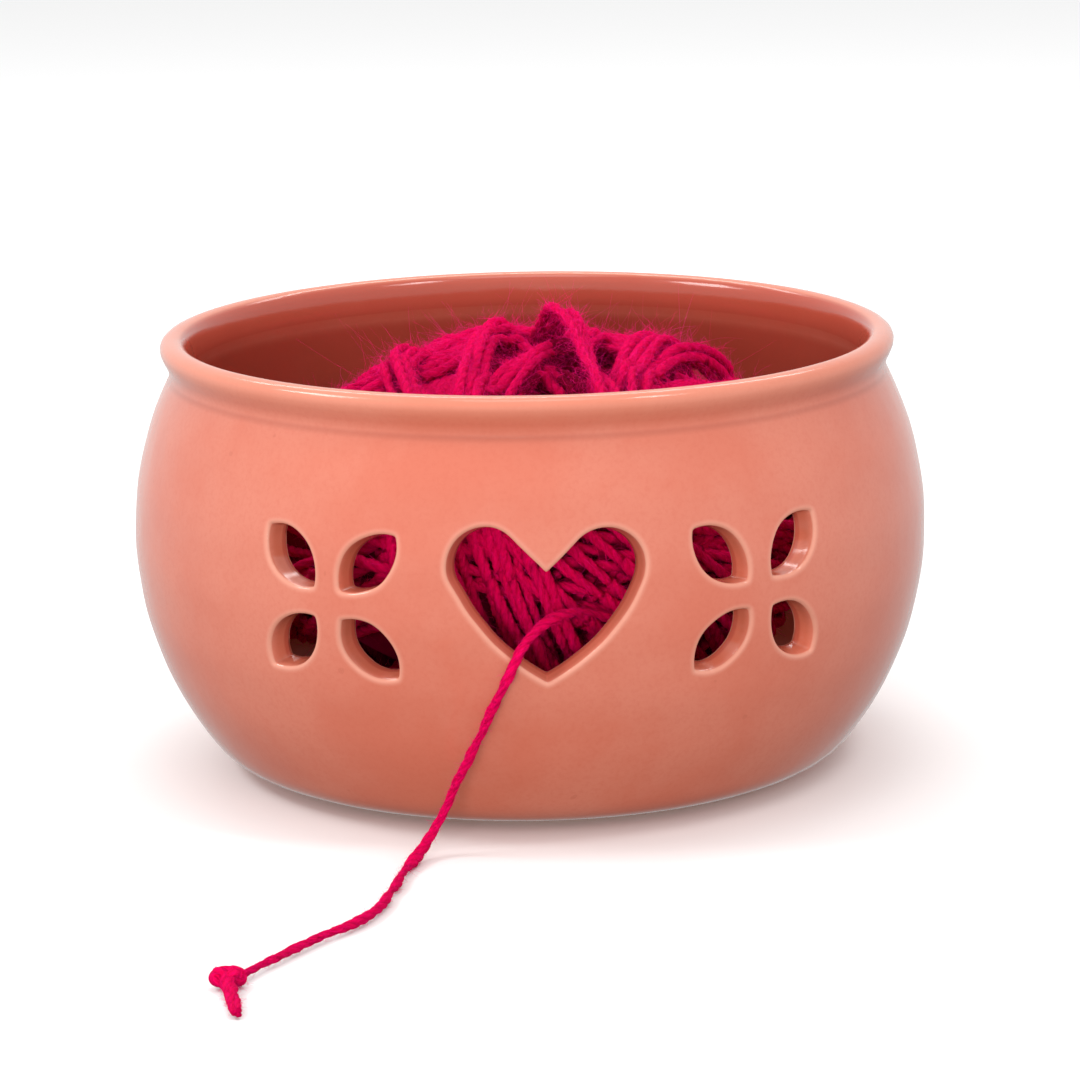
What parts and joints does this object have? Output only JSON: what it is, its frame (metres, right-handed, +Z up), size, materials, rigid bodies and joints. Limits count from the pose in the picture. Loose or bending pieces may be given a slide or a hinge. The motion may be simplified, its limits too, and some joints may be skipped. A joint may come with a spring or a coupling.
{
  "type": "yarn bowl",
  "caption": "Round-bellied glazed yarn bowl with heart and blossom cut-outs, holding a wound ball of yarn whose strand feeds out through the heart.",
  "frame": {"origin": "middle of the foot ring's resting plane, under the bowl's axis", "axes": "+Z up along the bowl's axis, the heart faces -Y, +X to the right of the heart seen from the front"},
  "size_m": [0.18, 0.2803, 0.0982],
  "materials": {
    "glaze": "glossy coral glaze, thinner and paler over the edges",
    "yarn": "fuzzy plied hot-pink yarn"
  },
  "bodies": {
    "bowl": {"bowl": "glaze", "working_strand": "yarn", "end_knot": "yarn", "strand_tail": "yarn"},
    "lead": {"strand_lead": "yarn"},
    "ball": {"yarn_ball": "yarn"}
  },
  "joints": [
    {"name": "ball_lift", "type": "slide", "parent": "bowl", "child": "lead", "axis": [0, 0, 1], "range_m": [0, 0.11]},
    {"name": "ball_turn", "type": "hinge", "parent": "lead", "child": "ball", "pos_m": [0, 0, 0.0522], "axis": [0, 0, 1], "continuous": true}
  ]
}
